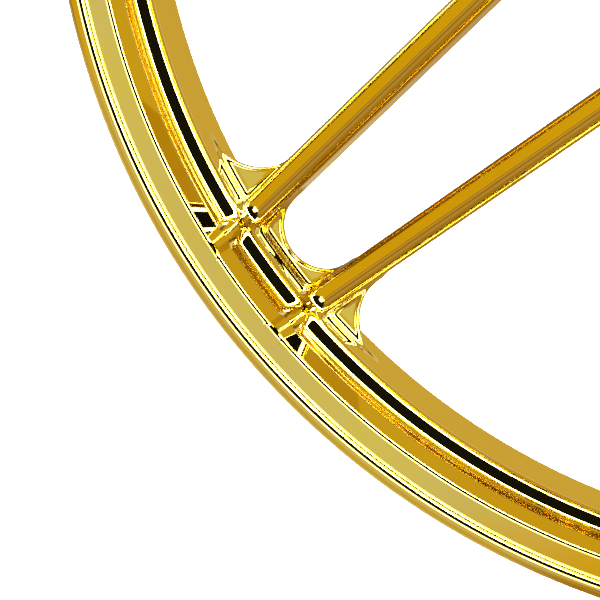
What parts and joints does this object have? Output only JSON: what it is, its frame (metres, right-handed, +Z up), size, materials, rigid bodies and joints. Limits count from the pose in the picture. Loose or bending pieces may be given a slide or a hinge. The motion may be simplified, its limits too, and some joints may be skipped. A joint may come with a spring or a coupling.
{
  "type": "spoked motorcycle wheel",
  "caption": "Gold-chromed cast motorcycle front wheel with straight spokes in pairs, webbed into a drop-centre rim, with hub bearings, axle collars and a tyre valve.",
  "frame": {"origin": "the wheel's centre, on the axle's axis and in the rim's middle plane", "axes": "+Y along the axle towards the rider's left, +Z up, +X forward"},
  "size_m": [0.5661, 0.124, 0.5662],
  "materials": {
    "gold_chrome": "mirror polished, plated in gold chrome",
    "bearing_steel": "ground",
    "bearing_ball_steel": "polished",
    "cage_steel": "pressed sheet",
    "bearing_seal_rubber": "smooth moulded",
    "dust_seal_rubber": "matt moulded",
    "collar_steel": "turned and polished",
    "spring_steel": "oiled dark",
    "valve_metal": "bright plated",
    "valve_rubber": "smooth moulded",
    "valve_brass": "turned",
    "cap_metal": "bright plated, fluted"
  },
  "bodies": {
    "axle_core": {"bearing_inner_ring_left": "bearing_steel", "bearing_inner_ring_right": "bearing_steel", "bearing_spacer_tube": "collar_steel", "axle_collar_left": "collar_steel", "axle_collar_right": "collar_steel"},
    "wheel": {"hub": "gold_chrome", "spoke_pair_1": "gold_chrome", "spoke_pair_2": "gold_chrome", "spoke_pair_3": "gold_chrome", "spoke_pair_4": "gold_chrome", "spoke_pair_5": "gold_chrome", "rim_well": "gold_chrome", "rim_bead_seat_left": "gold_chrome", "rim_bead_seat_right": "gold_chrome", "rim_flange_left": "gold_chrome", "rim_flange_right": "gold_chrome", "bearing_outer_ring_left": "bearing_steel", "bearing_outer_ring_right": "bearing_steel", "bearing_inboard_seal_left": "bearing_seal_rubber", "bearing_outboard_seal_left": "bearing_seal_rubber", "bearing_inboard_seal_right": "bearing_seal_rubber", "bearing_outboard_seal_right": "bearing_seal_rubber", "dust_seal_left": "dust_seal_rubber", "dust_seal_right": "dust_seal_rubber", "retaining_ring_left": "spring_steel", "valve_stem": "valve_metal", "valve_grommet": "valve_rubber", "valve_washer": "valve_metal", "valve_nut": "valve_metal", "valve_core_sleeve": "valve_brass", "valve_core_spring": "spring_steel"},
    "balls_left": {"bearing_balls_left": "bearing_ball_steel", "bearing_cage_left": "cage_steel"},
    "balls_right": {"bearing_balls_right": "bearing_ball_steel", "bearing_cage_right": "cage_steel"},
    "valve_pin": {"valve_core_pin": "valve_brass"},
    "valve_cap": {"valve_cap": "cap_metal"}
  },
  "joints": [
    {"name": "wheel_spin", "type": "hinge", "parent": "axle_core", "child": "wheel", "pos_m": [0, 0, 0], "axis": [0, 1, 0], "continuous": true},
    {"name": "balls_left_orbit", "type": "hinge", "parent": "axle_core", "child": "balls_left", "pos_m": [0, 0.0345, 0], "axis": [0, 1, 0], "continuous": true},
    {"name": "balls_right_orbit", "type": "hinge", "parent": "axle_core", "child": "balls_right", "pos_m": [0, -0.0345, 0], "axis": [0, 1, 0], "continuous": true},
    {"name": "valve_pin_press", "type": "slide", "parent": "wheel", "child": "valve_pin", "axis": [-0.2974, 0, -0.9548], "range_m": [0, 0.0015], "stiffness_N_per_m": 400, "springref_m": -0.002, "deforming": ["valve_core_spring"]},
    {"name": "valve_cap_lift", "type": "slide", "parent": "wheel", "child": "valve_cap", "axis": [0.2974, 0, 0.9548], "range_m": [0, 0.02]}
  ],
  "couplings": [
    {"joint": "balls_left_orbit", "follows": "wheel_spin", "ratio": 0.60167},
    {"joint": "balls_right_orbit", "follows": "wheel_spin", "ratio": 0.60167}
  ]
}
